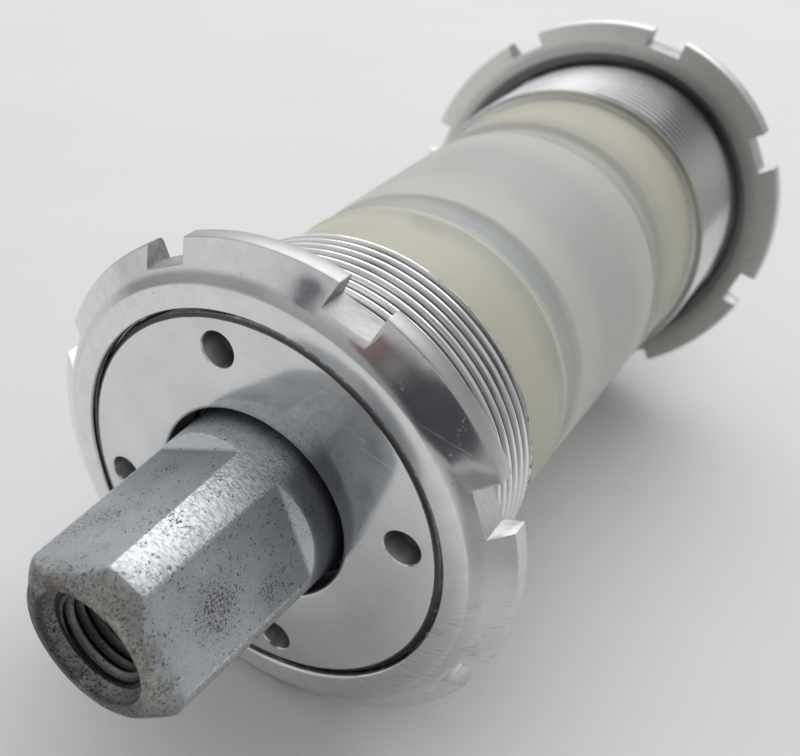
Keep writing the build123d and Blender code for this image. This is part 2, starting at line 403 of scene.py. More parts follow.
# ------------------------------------------------------------------ materials
def mat_cup():
    M = Mat("cup_aluminium")
    on_face = M.mul(M.ramp(M.math("ABSOLUTE", M.y), 39.30, 39.45), M.ramp(M.r, 16.75, 16.80, 1.0, 0.0))
    # turned face: very fine rings, polished over
    rings = M.noise(9.0, 2.0, 0.6, M.polar(1.0, 0.15, 0.0))
    smudge = M.noise(0.16, 4.0, 0.6)
    fine = M.noise(2.6, 5.0, 0.7)
    scr1 = hairlines(M, 78, 9.0, 0.14, 0.70, 0.75)
    scr2 = hairlines(M, 92, 10.0, 0.18, 0.72, 0.77)
    scr = M.mul(M.mx(scr1, scr2), 0.7)
    pits = M.ramp(M.voronoi(0.8), 0.0, 0.085, 1.0, 0.0)
    pits = M.mul(pits, M.ramp(M.noise(0.5), 0.55, 0.60))
    # painted shade in the thread grooves: darker towards the root radius
    thread = M.mul(M.ramp(M.r, 16.70, 16.78), M.sub(1.0, on_face))
    recess_shade = M.mul(thread, M.ramp(M.r, 17.00, 17.20, 1.0, 0.0))
    nick = M.ramp(M.voronoi(1.1), 0.0, 0.13, 1.0, 0.0)
    nick = M.mul(nick, M.ramp(M.noise(0.7, 3.0), 0.58, 0.64))
    turning = M.noise(3.0, 2.0, 0.5, M.polar(0.4, 0.6, 1.6))
    ragged = M.noise(1.6, 3.0, 0.7)
    near = M.ramp(M.y, -1.0, 1.0, 1.0, 0.0)
    inb = M.mul(thread, M.ramp(M.add(M.math("ABSOLUTE", M.y), M.mul(M.sub(0.5, ragged), 0.55)), 23.44, 23.54, 1.0, 0.0))
    inb = M.mul(inb, near)
    # at the thread's outboard end, the dark ragged band where it meets the lockring is painted shade of that crevice,
    # heavier on the right
    right = M.ramp(M.x, -14.0, -6.0, 0.2, 1.0)
    outb_gap_shade = M.mul(M.mul(thread, M.ramp(M.r, 17.02, 17.14)), M.mul(M.ramp(M.math("ABSOLUTE", M.y), 38.7, 38.9), M.ramp(ragged, 0.37, 0.49)))
    col = M.mix(M.ramp(smudge, 0.3, 0.7), (0.70, 0.715, 0.715), (0.80, 0.805, 0.80))
    col = M.mix(M.mul(fine, M.mixf(thread, 0.18, 0.05)), col, (0.62, 0.63, 0.63))
    # painted highlight along the thread crests
    col = M.mix(M.mul(thread, M.mul(M.ramp(M.r, 17.24, 17.37), 0.8)), col, (0.95, 0.95, 0.945))
    # painted shade: the near thread darker towards its underside
    col = M.mix(M.mul(thread, M.mul(M.mul(near, M.ramp(M.z, 8.0, -6.0)), 0.40)), col, (0.40, 0.40, 0.395))
    # painted dark reflection on a stretch of the far thread
    col = M.mix(M.mul(thread, M.mul(M.sub(1.0, near), M.mul(M.ramp(M.x, -1.0, 5.5, 0.0, 0.62), M.ramp(M.x, 11.0, 14.5, 1.0, 0.25)))), col, (0.24, 0.24, 0.238))
    # painted shade in the thread grooves
    col = M.mix(M.mul(recess_shade, M.mixf(near, 0.30, 0.92)), col, (0.045, 0.043, 0.042))
    # dark ragged edge at the thread's inboard end, plus painted crevice shade at its outboard end
    col = M.mix(M.mul(M.mx(inb, M.mul(M.mul(outb_gap_shade, right), 0.7)), 0.85), col, (0.05, 0.045, 0.04))
    chew = M.ramp(M.add(M.r, M.mul(M.sub(M.noise(1.3, 4.0, 0.75), 0.5), 0.8)), 16.79, 16.88)
    chew = M.mul(chew, M.mul(M.ramp(M.math("ABSOLUTE", M.y), 39.2, 39.4), M.mul(near, M.ramp(M.add(M.x, M.z), -4.0, 10.0))))
    col = M.mix(M.mul(chew, 0.80), col, (0.09, 0.085, 0.08))
    col = M.mix(M.mul(M.mx(pits, M.mul(nick, thread)), 0.9), col, (0.05, 0.05, 0.05))
    # blind pin holes: dark and dull inside
    px = M.sub(M.math("ABSOLUTE", M.sub(M.mul(M.math("FRACT", M.add(M.mul(M.sub(M.phi, math.radians(13.5)), 4 / TAU), 0.5)), 1.0), 0.5)), 0.0)
    dist2 = M.add(
        M.math("POWER", M.mul(M.mul(px, TAU / 4), 14.2), 2.0),
        M.math("POWER", M.sub(M.r, 14.2), 2.0),
    )
    hole = M.mul(M.ramp(dist2, 1.42**2, 1.58**2, 1.0, 0.0), M.ramp(M.math("ABSOLUTE", M.y), 39.28, 39.40, 1.0, 0.0))
    hole = M.mul(hole, M.ramp(M.math("ABSOLUTE", M.y), 36.0, 36.4))
    col = M.mix(M.mul(hole, 0.94), col, M.mix(M.ramp(fine, 0.35, 0.65), (0.055, 0.055, 0.05), (0.13, 0.13, 0.12)))
    rough = M.mixf(on_face, 0.30, M.ramp(smudge, 0.25, 0.75, 0.085, 0.15))
    rough = M.add(rough, M.mul(scr, 0.12))
    rough = M.mixf(thread, rough, M.mixf(near, 0.14, M.ramp(smudge, 0.2, 0.8, 0.16, 0.26)))
    rough = M.mixf(hole, rough, 0.5)
    b = M.bump(M.mul(rings, on_face), 0.10, 0.004)
    b = M.bump(M.sub(1.0, M.mx(scr, pits)), 0.35, 0.02, b)
    b = M.bump(M.mul(turning, thread), 0.10, 0.02, b)
    b = M.bump(smudge, 0.06, 0.25, b)
    return M.done(M.bsdf(Base_Color=col, Metallic=1.0, Roughness=rough, Normal=b))


def mat_ring(name, back_sign_t, side):
    """back_sign_t is the inboard face's distance from the middle plane, side its sign."""
    M = Mat(name)
    t = M.mul(M.y, float(side))
    rim = M.mul(M.ramp(M.r, 22.30, 22.38), M.ramp(t, back_sign_t + 1.78, back_sign_t + 1.86, 1.0, 0.0))
    back = M.ramp(t, back_sign_t + 0.04, back_sign_t + 0.30, 1.0, 0.0)
    land = M.mul(M.ramp(t, back_sign_t + 3.50, back_sign_t + 3.56), 1.0)
    smudge = M.noise(0.14, 4.0, 0.62)
    mott = M.noise(0.9, 5.0, 0.65)
    fine = M.noise(3.2, 5.0, 0.7)
    radial = M.noise(1.0, 2.0, 0.5, M.polar(0.25, 9.0, 0.2))
    rings = M.noise(7.0, 3.0, 0.65, M.polar(1.6, 0.12, 1.6))
    s1 = hairlines(M, 64, 8.0, 0.12, 0.72, 0.77)
    s2 = hairlines(M, 67, 9.0, 0.16, 0.73, 0.78)
    scr = M.mul(M.mx(s1, s2), 0.6)
    low = M.mul(M.ramp(M.z, 4.0, -3.0), M.ramp(M.x, 6.0, 12.0))
    left = M.mul(M.ramp(M.x, -8.0, -13.0), M.ramp(M.z, -10.0, -2.0))
    sc1 = M.mul(hairlines(M, 112, 5.5, 0.55, 0.60, 0.64), low)
    sc2 = M.mul(M.mul(hairlines(M, 38, 5.5, 0.45, 0.63, 0.67), left), 0.6)
    scuff = M.mul(M.mx(sc1, sc2), M.ramp(M.noise(0.9, 2.0), 0.40, 0.55))
    ding = M.mul(M.ramp(M.noise(2.6, 3.0, 0.7), 0.66, 0.72), M.ramp(M.noise(0.35, 2.0), 0.42, 0.58))
    nick = M.mul(M.ramp(M.voronoi(0.9), 0.0, 0.12, 1.0, 0.0), M.ramp(M.noise(0.6, 2.0), 0.56, 0.62))
    at = M.node("ShaderNodeAttribute")
    at.attribute_type = "GEOMETRY"
    at.attribute_name = "milled"
    milled = at.outputs["Fac"]
    saw = M.noise(1.0, 3.0, 0.6, M.scaled(1.2, 5.5, 1.2))
    col = M.mix(M.ramp(mott, 0.25, 0.75), (0.76, 0.765, 0.765), (0.86, 0.86, 0.855))
    # back face: warm tone with painted shade, darker towards the right and darker near the bore
    warm_tone_and_shade = M.mix(M.ramp(M.x, -14.0, 18.0), (0.88, 0.865, 0.83), (0.55, 0.53, 0.50))
    warm_tone_and_shade = M.mix(M.ramp(M.r, 19.0, 20.6, 0.45, 0.0), warm_tone_and_shade, (0.26, 0.25, 0.24))
    col = M.mix(M.mul(back, 0.92), col, warm_tone_and_shade)
    col = M.mix(M.mul(milled, 0.8), col, M.mix(M.ramp(saw, 0.3, 0.7), (0.52, 0.52, 0.51), (0.74, 0.74, 0.73)))
    # painted shade: the notch faces darker near the top
    col = M.mix(M.mul(milled, M.ramp(M.z, 12.0, 18.0, 0.0, 0.8)), col, M.mix(M.ramp(saw, 0.3, 0.7), (0.27, 0.275, 0.275), (0.42, 0.425, 0.42)))
    # painted dark reflection low on the right of the outboard side
    low_dark_reflection = M.mul(M.mul(M.ramp(M.z, 9.0, -5.0), M.ramp(M.x, 2.0, 13.0)), M.ramp(M.y, -1.0, 1.0, 1.0, 0.0))
    col = M.mix(M.mul(low_dark_reflection, 0.55), col, (0.52, 0.52, 0.51))
    col = M.mix(M.mul(scr, 0.20), col, (0.95, 0.95, 0.95))
    col = M.mix(M.mul(scuff, 0.45), col, (0.34, 0.34, 0.335))
    col = M.mix(M.mul(ding, 0.40), col, (0.38, 0.38, 0.375))
    col = M.mix(M.mul(nick, 0.85), col, (0.08, 0.08, 0.08))
    col = M.mix(M.mul(rim, 0.35), col, (0.58, 0.58, 0.58))
    # painted shade: the outboard rim darker towards the top
    col = M.mix(M.mul(rim, M.mul(M.ramp(M.y, -1.0, 1.0, 1.0, 0.0), M.ramp(M.z, 10.0, 19.0, 0.0, 0.75))), col, (0.36, 0.365, 0.365))
    # painted dark reflection on the bevel's inner edge: faint all round, strongest over one arc
    bevel_dark_reflection = M.mul(M.ramp(M.r, 19.42, 19.62), M.ramp(M.r, 20.05, 20.60, 1.0, 0.0))
    bevel_dark_reflection = M.mul(bevel_dark_reflection, M.mx(0.18, M.mul(M.ramp(M.phi, math.radians(77), math.radians(92)), M.ramp(M.phi, math.radians(124), math.radians(142), 0.72, 0.0))))
    col = M.mix(M.mul(bevel_dark_reflection, M.ramp(M.y, -1.0, 1.0, 1.0, 0.35)), col, (0.30, 0.305, 0.305))
    # painted shade inside the bore and on the inner cone of the inboard face
    cone = M.mul(M.ramp(M.r, 18.92, 19.0, 1.0, 0.0), M.ramp(t, back_sign_t + 1.5, back_sign_t + 1.7, 1.0, 0.0))
    bore = M.mul(M.ramp(M.r, 17.56, 17.62, 1.0, 0.0), M.ramp(t, back_sign_t + 3.30, back_sign_t + 3.42, 1.0, 0.0))
    inside = M.mx(M.mul(bore, 0.85), M.mul(cone, 0.52))
    col = M.mix(inside, col, (0.19, 0.185, 0.18))
    rough = M.ramp(smudge, 0.25, 0.75, 0.065, 0.125)
    rough = M.add(rough, M.mul(fine, 0.035))
    rough = M.mixf(land, rough, M.ramp(smudge, 0.2, 0.8, 0.16, 0.24))
    rough = M.mixf(rim, rough, M.ramp(fine, 0.2, 0.8, 0.34, 0.46))
    rough = M.mixf(back, rough, M.ramp(fine, 0.2, 0.8, 0.46, 0.60))
    rough = M.mixf(milled, rough, M.ramp(saw, 0.2, 0.8, 0.36, 0.52))
    rough = M.mixf(cone, rough, 0.34)
    rough = M.add(rough, M.mul(scr, 0.08))
    b = M.bump(rings, 0.16, 0.006)
    b = M.bump(smudge, 0.06, 0.40, b)
    b = M.bump(M.sub(1.0, M.mx(M.mul(scr, 0.4), nick)), 0.3, 0.02, b)
    b = M.bump(M.sub(1.0, M.mx(scuff, M.mul(ding, 0.8))), 0.35, 0.03, b)
    b = M.bump(M.mul(fine, M.mx(rim, back)), 0.20, 0.02, b)
    b = M.bump(M.mul(saw, milled), 0.55, 0.05, b)
    return M.done(M.bsdf(Base_Color=col, Metallic=1.0, Roughness=rough, Normal=b, Anisotropic=0.0))


def mat_spindle():
    M = Mat("spindle_zinc_steel")
    ay = M.math("ABSOLUTE", M.y)
    end = M.ramp(ay, 56.4, 58.2)
    neck = M.ramp(ay, 44.5, 41.0)
    big = M.noise(0.22, 3.0, 0.6)
    mid = M.noise(1.1, 5.0, 0.7)
    grit = M.noise(7.0, 3.0, 0.75)
    # pits crowd in patches, along the corners and towards the end
    along = M.scaled(1.0, 0.6, 1.0)
    patch = M.ramp(M.noise(0.36, 3.0, 0.6), 0.42, 0.62, 0.15, 1.0)
    heavy = M.mx(M.spot(6.12, -51.95, 2.38, 0.6, 3.4), M.spot(7.15, -46.6, 0.6, 0.2, 2.2))
    heavy = M.mx(heavy, M.mul(M.mx(M.spot(-3.59, -45.05, 5.84, 0.2, 2.2), M.spot(-4.37, -51.6, 5.23, 0.2, 2.4)), 0.85))
    heavy = M.mx(heavy, M.mul(M.mx(M.spot(-6.0, 52.0, 2.4, 0.6, 3.2), M.spot(4.6, 47.0, 5.4, 0.2, 2.4)), 0.85))
    heavy = M.mx(heavy, M.mul(M.ramp(ay, 56.8, 57.8), 0.45))
    patch = M.mx(patch, M.ramp(ay, 55.5, 58.0, 0.0, 1.0))
    n1 = M.noise(5.2, 3.0, 0.65, along)
    n2 = M.noise(2.2, 4.0, 0.7, along)
    p1 = M.ramp(M.sub(n1, M.mul(patch, 0.055)), 0.545, 0.565)
    p1 = M.mul(M.ramp(M.add(n1, M.mul(patch, 0.07)), 0.665, 0.70), patch)
    p2 = M.mul(M.ramp(M.add(n2, M.mul(patch, 0.05)), 0.675, 0.72), patch)
    dots = M.mul(M.ramp(M.voronoi(2.1), 0.10, 0.20, 1.0, 0.0), M.ramp(M.noise(0.8, 2.0), 0.46, 0.56))
    dots = M.mx(dots, M.mul(M.ramp(M.voronoi(4.3), 0.12, 0.24, 1.0, 0.0), M.mul(M.ramp(M.noise(0.5, 3.0, 0.6), 0.47, 0.60), 0.9)))
    n3 = M.noise(6.4, 4.0, 0.72, M.scaled(1.0, 0.8, 1.0))
    crowd = M.mul(M.ramp(M.add(n3, M.mul(heavy, 0.09)), 0.615, 0.660), M.ramp(heavy, 0.02, 0.30))
    pits = M.mx(M.mx(M.mx(p1, M.mul(p2, 0.9)), dots), M.mul(crowd, 0.9))
    # fine straight tool lines on the flats, coarse grain on the turned corners
    streak = M.noise(2.4, 4.0, 0.65, M.scaled(0.4, 3.2, 2.6))
    mouth = M.mul(M.ramp(ay, 57.9, 58.5), M.ramp(M.r, 4.6, 5.0))
    rust_ring = M.mul(M.ramp(M.r, 5.1, 6.5, 1.0, 0.0), mouth)
    rust = M.mul(rust_ring, M.ramp(M.add(mid, M.mul(rust_ring, 0.12)), 0.47, 0.60))
    stain = M.mul(end, M.ramp(M.noise(0.7, 4.0, 0.7), 0.42, 0.62))
    rust2 = M.mul(M.ramp(M.noise(0.45, 4.0, 0.65), 0.58, 0.70), M.ramp(M.noise(3.4, 3.0, 0.7), 0.46, 0.60))
    # the turned corners between the flats, and how far down the shank we are
    rc = M.add(7.64, M.mul(M.sub(56.9, ay), 0.036946))
    corner = M.mul(M.ramp(M.sub(M.r, rc), -0.14, -0.05), M.mul(M.ramp(ay, 36.4, 36.7), M.ramp(ay, 56.6, 57.2, 1.0, 0.0)))
    down_shade = M.ramp(ay, 50.0, 41.0)
    # which skin we are on: how far below the four flats and the turned corners a point lies
    c1, s1 = math.cos(math.radians(24.6)), math.sin(math.radians(24.6))
    u1 = M.math("ABSOLUTE", M.add(M.mul(M.x, c1), M.mul(M.z, s1)))
    u2 = M.math("ABSOLUTE", M.sub(M.mul(M.z, c1), M.mul(M.x, s1)))
    flat_r = M.add(6.40, M.mul(M.sub(56.5, ay), math.tan(math.radians(2.0))))
    below = M.mn(M.sub(flat_r, M.mx(u1, u2)), M.sub(rc, M.r))
    dome = M.mul(M.ramp(below, 0.02, 0.40, 0.0, 1.0), M.mul(M.ramp(ay, 55.2, 55.6), M.ramp(M.r, 4.95, 5.0)))
    brim = M.mul(M.mul(dome, M.ramp(below, 0.05, 0.30, 1.0, 0.0)), M.ramp(M.noise(0.8, 3.0, 0.6), 0.35, 0.55, 0.2, 1.0))
    underside_shade = M.ramp(M.add(M.mul(M.x, 0.349), M.mul(M.z, 0.937)), 1.5, -2.5)
    # the tapped bolt hole; painted shade in its undercut, in the thread roots and deeper in
    tapped = M.mul(M.ramp(M.r, 4.04, 4.10, 1.0, 0.0), M.ramp(ay, 58.2, 57.9))
    recess_shade = M.mul(tapped, M.ramp(ay, 57.6, 55.6))
    root = M.mul(tapped, M.ramp(M.r, 3.62, 3.90))
    undercut_shade = M.mul(M.ramp(M.r, 4.40, 4.46, 1.0, 0.0), M.mul(M.ramp(M.r, 3.94, 4.0), M.ramp(ay, 57.2, 57.3)))
    col = M.mix(M.ramp(big, 0.3, 0.7), (0.47, 0.505, 0.53), (0.56, 0.59, 0.605))
    col = M.mix(M.ramp(streak, 0.35, 0.75, 0.0, 0.40), col, (0.40, 0.43, 0.45))
    col = M.mix(M.ramp(mid, 0.45, 0.75, 0.0, 0.30), col, (0.70, 0.72, 0.73))
    col = M.mix(M.ramp(grit, 0.40, 0.62, 0.22, 0.0), col, (0.22, 0.23, 0.25))
    col = M.mix(M.mul(stain, 0.55), col, (0.33, 0.31, 0.26))
    col = M.mix(M.mul(rust2, 0.45), col, (0.22, 0.15, 0.11))
    col = M.mix(M.mul(rust, 0.78), col, (0.14, 0.085, 0.055))
    col = M.mix(M.mul(dome, 0.70), col, M.mix(M.ramp(M.x, -6.0, 5.0), (0.11, 0.10, 0.085), (0.46, 0.45, 0.41)))
    crust = M.mul(M.mul(dome, M.ramp(M.noise(1.9, 4.0, 0.7), 0.50, 0.62)), M.ramp(M.r, 6.6, 5.2, 0.22, 0.80))
    col = M.mix(crust, col, (0.12, 0.085, 0.06))
    col = M.mix(M.mul(heavy, 0.20), col, (0.33, 0.30, 0.27))
    # painted shade on the shank towards the neck
    col = M.mix(M.mul(down_shade, M.ramp(ay, 43.0, 41.0, 0.34, 0.12)), col, (0.20, 0.215, 0.235))
    turned = M.noise(4.2, 3.0, 0.7, M.vec(M.mul(M.r, 1.0), M.mul(M.phi, 4.0), M.mul(M.y, 1.5)))
    # turned corners: their own brighter, grainier turned finish; how strongly it shows along the shank is a painted
    # highlight
    col = M.mix(M.mul(corner, M.ramp(ay, 51.5, 55.5, 0.86, 0.52)), col, M.mix(M.ramp(turned, 0.38, 0.60), M.mix(M.ramp(ay, 44.0, 41.0), (0.42, 0.44, 0.46), (0.50, 0.52, 0.55)), M.mix(M.ramp(ay, 44.0, 41.0), (0.86, 0.88, 0.89), (0.66, 0.68, 0.71))))
    # painted dark reflection on the right of the corners at the neck
    col = M.mix(M.mul(M.mul(corner, M.ramp(ay, 43.6, 41.2)), M.ramp(M.phi, math.radians(66), math.radians(48), 0.0, 0.82)), col, (0.10, 0.11, 0.14))
    # painted shade on the underside of the shank
    col = M.mix(M.mul(underside_shade, 0.60), col, (0.13, 0.14, 0.15))
    col = M.mix(M.mul(pits, 0.86), col, (0.06, 0.058, 0.06))
    wall = M.mul(M.mul(M.ramp(ay, 41.55, 41.70), M.ramp(ay, 42.35, 42.50, 1.0, 0.0)), M.ramp(M.sub(M.r, rc), -0.10, -0.02, 1.0, 0.0))
    col = M.mix(M.mul(wall, 0.55), col, (0.86, 0.89, 0.90))
    # painted shade where the shank goes into the cup bore
    cone = M.mul(M.ramp(ay, 40.2, 40.8, 1.0, 0.0), M.ramp(ay, 36.3, 36.6))
    col = M.mix(M.mul(cone, 0.25), col, (0.22, 0.24, 0.27))
    col = M.mix(M.mul(brim, 0.50), col, (0.09, 0.08, 0.07))
    # painted shade in the bolt hole: undercut, thread roots, deeper in
    col = M.mix(M.mul(undercut_shade, 0.9), col, (0.03, 0.03, 0.03))
    col = M.mix(M.mul(root, 0.75), col, (0.06, 0.055, 0.055))
    col = M.mix(M.mul(recess_shade, 0.75), col, (0.07, 0.06, 0.065))
    rough = M.ramp(mid, 0.25, 0.75, 0.29, 0.42)
    rough = M.mixf(corner, rough, M.ramp(mid, 0.25, 0.75, 0.29, 0.38))
    rough = M.add(rough, M.mul(M.mx(rust, M.mx(rust2, stain)), 0.25))
    rough = M.add(rough, M.mul(pits, 0.3))
    turn = M.noise(5.0, 2.0, 0.6, M.polar(0.2, 5.0, 2.6))
    b = M.bump(grit, 0.62, 0.045)
    b = M.bump(mid, 0.20, 0.10, b)
    b = M.bump(streak, 0.25, 0.03, b)
    b = M.bump(M.mul(turn, neck), 0.6, 0.05, b)
    b = M.bump(M.mul(turned, corner), 0.55, 0.06, b)
    b = M.bump(M.sub(1.0, pits), 0.8, 0.06, b)
    return M.done(M.bsdf(Base_Color=col, Metallic=0.95, Roughness=rough, Normal=b))


def mat_sleeve():
    M = Mat("sleeve_milky_plastic")
    ay = M.math("ABSOLUTE", M.y)
    outer = M.ramp(M.r, 15.60, 15.66)
    collar = M.ramp(ay, 13.4, 13.9)
    groove = M.mul(M.ramp(ay, 9.7, 10.1), M.ramp(ay, 13.3, 13.6, 1.0, 0.0))
    # painted highlights on the groove's shoulder fillets: lip and edge
    lip_highlight = M.mul(M.ramp(ay, 13.50, 13.72), M.ramp(ay, 13.96, 14.12, 1.0, 0.0))
    edge = M.mul(M.ramp(ay, 8.70, 9.35), M.ramp(ay, 9.90, 10.35, 1.0, 0.0))
    wander = M.noise(0.9, 3.0, 0.6, M.polar(0.2, 4.0, 0.0))
    # painted shade in the groove: a blue-grey band, heavier on the right
    groove_blue_shade = M.ramp(M.add(ay, M.mul(M.sub(wander, 0.5), 1.6)), 11.95, 12.20, 1.0, 0.0)
    groove_blue_shade = M.mul(M.mul(groove_blue_shade, groove), M.ramp(M.x, -5.0, 4.0, 0.15, 1.0))
    seam = M.mul(M.ramp(M.add(ay, M.mul(M.sub(wander, 0.5), 1.6)), 12.05, 12.15), M.ramp(M.add(ay, M.mul(M.sub(wander, 0.5), 1.6)), 12.22, 12.42, 1.0, 0.0))
    # painted shade of the spindle seen through the middle of the tube
    middle_see_through_shade = M.mul(M.ramp(ay, 8.0, 2.5), M.ramp(M.noise(0.07, 2.0, 0.5), 0.35, 0.55, 0.25, 1.0))
    big = M.noise(0.10, 3.0, 0.55)
    mid = M.noise(0.6, 4.0, 0.6)
    fine = M.noise(5.0, 4.0, 0.65)
    flow = M.noise(0.5, 3.0, 0.6, M.polar(0.3, 1.2, 3.0))
    speck = M.mul(M.ramp(M.voronoi(0.35), 0.0, 0.045, 1.0, 0.0), M.ramp(M.noise(0.25), 0.55, 0.6))
    base = M.mix(collar, (0.975, 0.96, 0.905), (0.87, 0.855, 0.735))
    base = M.mix(M.mul(middle_see_through_shade, 0.75), base, (0.85, 0.885, 0.885))
    base = M.mix(M.mul(groove, 0.8), base, (0.84, 0.83, 0.76))
    base = M.mix(M.mul(groove_blue_shade, 0.9), base, (0.66, 0.71, 0.73))
    base = M.mix(M.mul(M.mul(seam, groove), 0.5), base, (0.98, 0.97, 0.92))
    base = M.mix(M.ramp(big, 0.42, 0.7, 0.0, 0.45), base, (0.92, 0.895, 0.80))
    base = M.mix(M.ramp(flow, 0.5, 0.8, 0.0, 0.22), base, (0.90, 0.87, 0.74))
    # painted highlights on the lip and edge
    base = M.mix(M.mul(lip_highlight, 0.9), base, (1.0, 0.99, 0.92))
    base = M.mix(M.mul(edge, 0.6), base, (0.99, 0.98, 0.92))
    base = M.mix(M.mul(speck, 0.6), base, (0.30, 0.22, 0.12))
    rough = M.ramp(mid, 0.2, 0.8, 0.30, 0.44)
    rough = M.mixf(lip_highlight, rough, 0.20)
    b = M.bump(mid, 0.15, 0.12)
    b = M.bump(fine, 0.12, 0.012, b)
    p = M.bsdf(Base_Color=base, Roughness=rough, Normal=b, IOR=1.49)
    tr = M.node("ShaderNodeBsdfTranslucent")
    M.link(tr.inputs["Color"], M.mix(0.5, base, (1.0, 1.0, 0.97)))
    tp = M.node("ShaderNodeBsdfTransparent")
    tp.inputs["Color"].default_value = (0.95, 0.96, 0.94, 1)
    clear = M.node("ShaderNodeBsdfTransparent")
    clear.inputs["Color"].default_value = (0.985, 0.985, 0.965, 1)
    m1 = M.node("ShaderNodeMixShader")
    m1.inputs[0].default_value = 0.48
    M.t.links.new(p, m1.inputs[1])
    M.t.links.new(tr.outputs[0], m1.inputs[2])
    m2 = M.node("ShaderNodeMixShader")
    M.link(m2.inputs[0], M.mixf(collar, M.ramp(ay, 3.0, 8.5, 0.09, 0.02), 0.15))
    M.t.links.new(m1.outputs[0], m2.inputs[1])
    M.t.links.new(tp.outputs[0], m2.inputs[2])
    # the cloudiness is carried by the outer skin; the bore wall lets light through
    m3 = M.node("ShaderNodeMixShader")
    M.link(m3.inputs[0], outer)
    M.t.links.new(clear.outputs[0], m3.inputs[1])
    M.t.links.new(m2.outputs[0], m3.inputs[2])
    return M.done(m3.outputs[0])


def mat_bearing(name, col_a, col_b, r0, r1, metallic=1.0):
    M = Mat(name)
    n = M.noise(1.2, 4.0, 0.6)
    turn = M.noise(9.0, 2.0, 0.6, M.polar(2.0, 0.3, 2.0))
    col = M.mix(M.ramp(n, 0.3, 0.7), col_a, col_b)
    rough = M.ramp(n, 0.2, 0.8, r0, r1)
    b = M.bump(turn, 0.25, 0.01)
    b = M.bump(M.noise(6.0, 4.0, 0.7), 0.2, 0.02, b)
    return M.done(M.bsdf(Base_Color=col, Metallic=metallic, Roughness=rough, Normal=b))


def mat_rubber():
    M = Mat("seal_rubber")
    n = M.noise(2.0, 5.0, 0.7)
    dust = M.ramp(M.noise(0.8, 4.0), 0.5, 0.75)
    col = M.mix(M.mul(dust, 0.25), (0.012, 0.012, 0.013), (0.06, 0.055, 0.05))
    rough = M.ramp(n, 0.2, 0.8, 0.42, 0.65)
    b = M.bump(M.noise(7.0, 4.0, 0.7), 0.3, 0.02)
    b = M.bump(M.noise(6.0, 2.0, 0.5, M.polar(2.2, 0.2, 0.1)), 0.4, 0.03, b)
    return M.done(M.bsdf(Base_Color=col, Roughness=rough, Normal=b))


def mat_floor():
    M = Mat("floor_paper")
    n = M.noise(0.02, 4.0, 0.6)
    col = M.mix(M.ramp(n, 0.3, 0.7), (0.80, 0.80, 0.80), (0.825, 0.825, 0.825))
    b = M.bump(M.noise(1.4, 4.0, 0.6), 0.08, 0.05)
    return M.done(M.bsdf(Base_Color=col, Roughness=0.55, Normal=b, Specular_IOR_Level=0.25))


def paint(ob, m):
    ob.data.materials.clear()
    ob.data.materials.append(m)


# ------------------------------------------------------------------ threads
PITCH = 25.4 / 24
MAJOR = 17.40


def thread_shell(name, side, t_out, t_in, hand, r_face, n=540, depth=0.62, land=0.17, flat=0.335):
    """A solid ring from radius 16.5 out to a true helical thread between t_out and t_in.

    Rows follow the helix, so crests and roots stay crisp. hand is +1 when y grows with phi.
    """
    # one turn of the thread: phase, radius below the major radius
    crest = land / PITCH
    flank = flat / PITCH
    root = (PITCH - land - 2 * flat) / PITCH
    worn = [(0.0, 0.0), (0.05, 0.006), (0.10, 0.026), (0.15, 0.062), (0.20, 0.120), (0.25, 0.195), (0.31, 0.300), (0.37, 0.410), (0.42, 0.500), (0.46, 0.575), (0.50, 0.610)]
    shape = worn + [(1.0 - p, d) for p, d in reversed(worn[1:-1])] if land < 0.2 else [
        (0.0, 0.0),
        (crest * 0.5, -0.004),
        (crest * 0.9, 0.012),
        (crest + flank * 0.10, 0.075),
        (crest + flank * 0.50, depth * 0.52),
        (crest + flank * 0.90, depth * 0.93),
        (crest + flank * 1.0 + root * 0.25, depth),
        (crest + flank * 1.0 + root * 0.75, depth),
        (crest + flank * 1.1 + root, depth * 0.93),
        (crest + flank * 1.5 + root, depth * 0.52),
        (crest + flank * 1.90 + root, 0.075),
        (crest * 1.1 + flank * 2 + root - crest * 0.0, 0.012),
    ]
    shape = [(p if p < 1 else 0.999, d) for p, d in shape]
    lo, hi = sorted((side * t_out, side * t_in))

    def limit(y):
        """Largest radius allowed by the chamfers at the two ends."""
        t = abs(y)
        a = r_face + 0.06 + (t_out - t) * (MAJOR - r_face - 0.06) / 0.42
        b = (MAJOR - 0.12) + (t - t_in) * 1.0
        return min(MAJOR, a, b)

    def radius(y, phi):
        ph = (y / PITCH - hand * phi / TAU) % 1.0
        xs = [s[0] for s in shape] + [1.0]
        ds = [s[1] for s in shape] + [0.0]
        d = float(np.interp(ph, xs, ds))
        return min(MAJOR - d, limit(y))

    k0 = int(math.floor(lo / PITCH)) - 2
    k1 = int(math.ceil(hi / PITCH)) + 2
    rows = [(k + p, d) for k in range(k0, k1) for p, d in shape]
    verts, faces = [], []
    cols = n + 1
    for ph, d in rows:
        for i in range(cols):
            phi = TAU * i / n
            y = (ph + hand * phi / TAU) * PITCH
            if y <= lo:
                y, r = lo, radius(lo, phi)
            elif y >= hi:
                y, r = hi, radius(hi, phi)
            else:
                r = min(MAJOR - d, limit(y))
            verts.append(pol(r, phi, y))
    R = len(rows)
    for a in range(R - 1):
        for i in range(n):
            q = [a * cols + i, a * cols + i + 1, (a + 1) * cols + i + 1, (a + 1) * cols + i]
            faces.append(q)
    # inner wall and the two end rings
    base = len(verts)
    for y in (lo, hi):
        for i in range(cols):
            verts.append(pol(16.5, TAU * i / n, y))
    for i in range(n):
        faces.append([base + i, base + i + 1, i + 1, i])
        faces.append([(R - 1) * cols + i, (R - 1) * cols + i + 1, base + cols + i + 1, base + cols + i])
        faces.append([base + cols + i, base + cols + i + 1, base + i + 1, base + i])
    ob = new_object(name, verts, faces)
    tidy(ob, 50, 1e-6)
    return ob


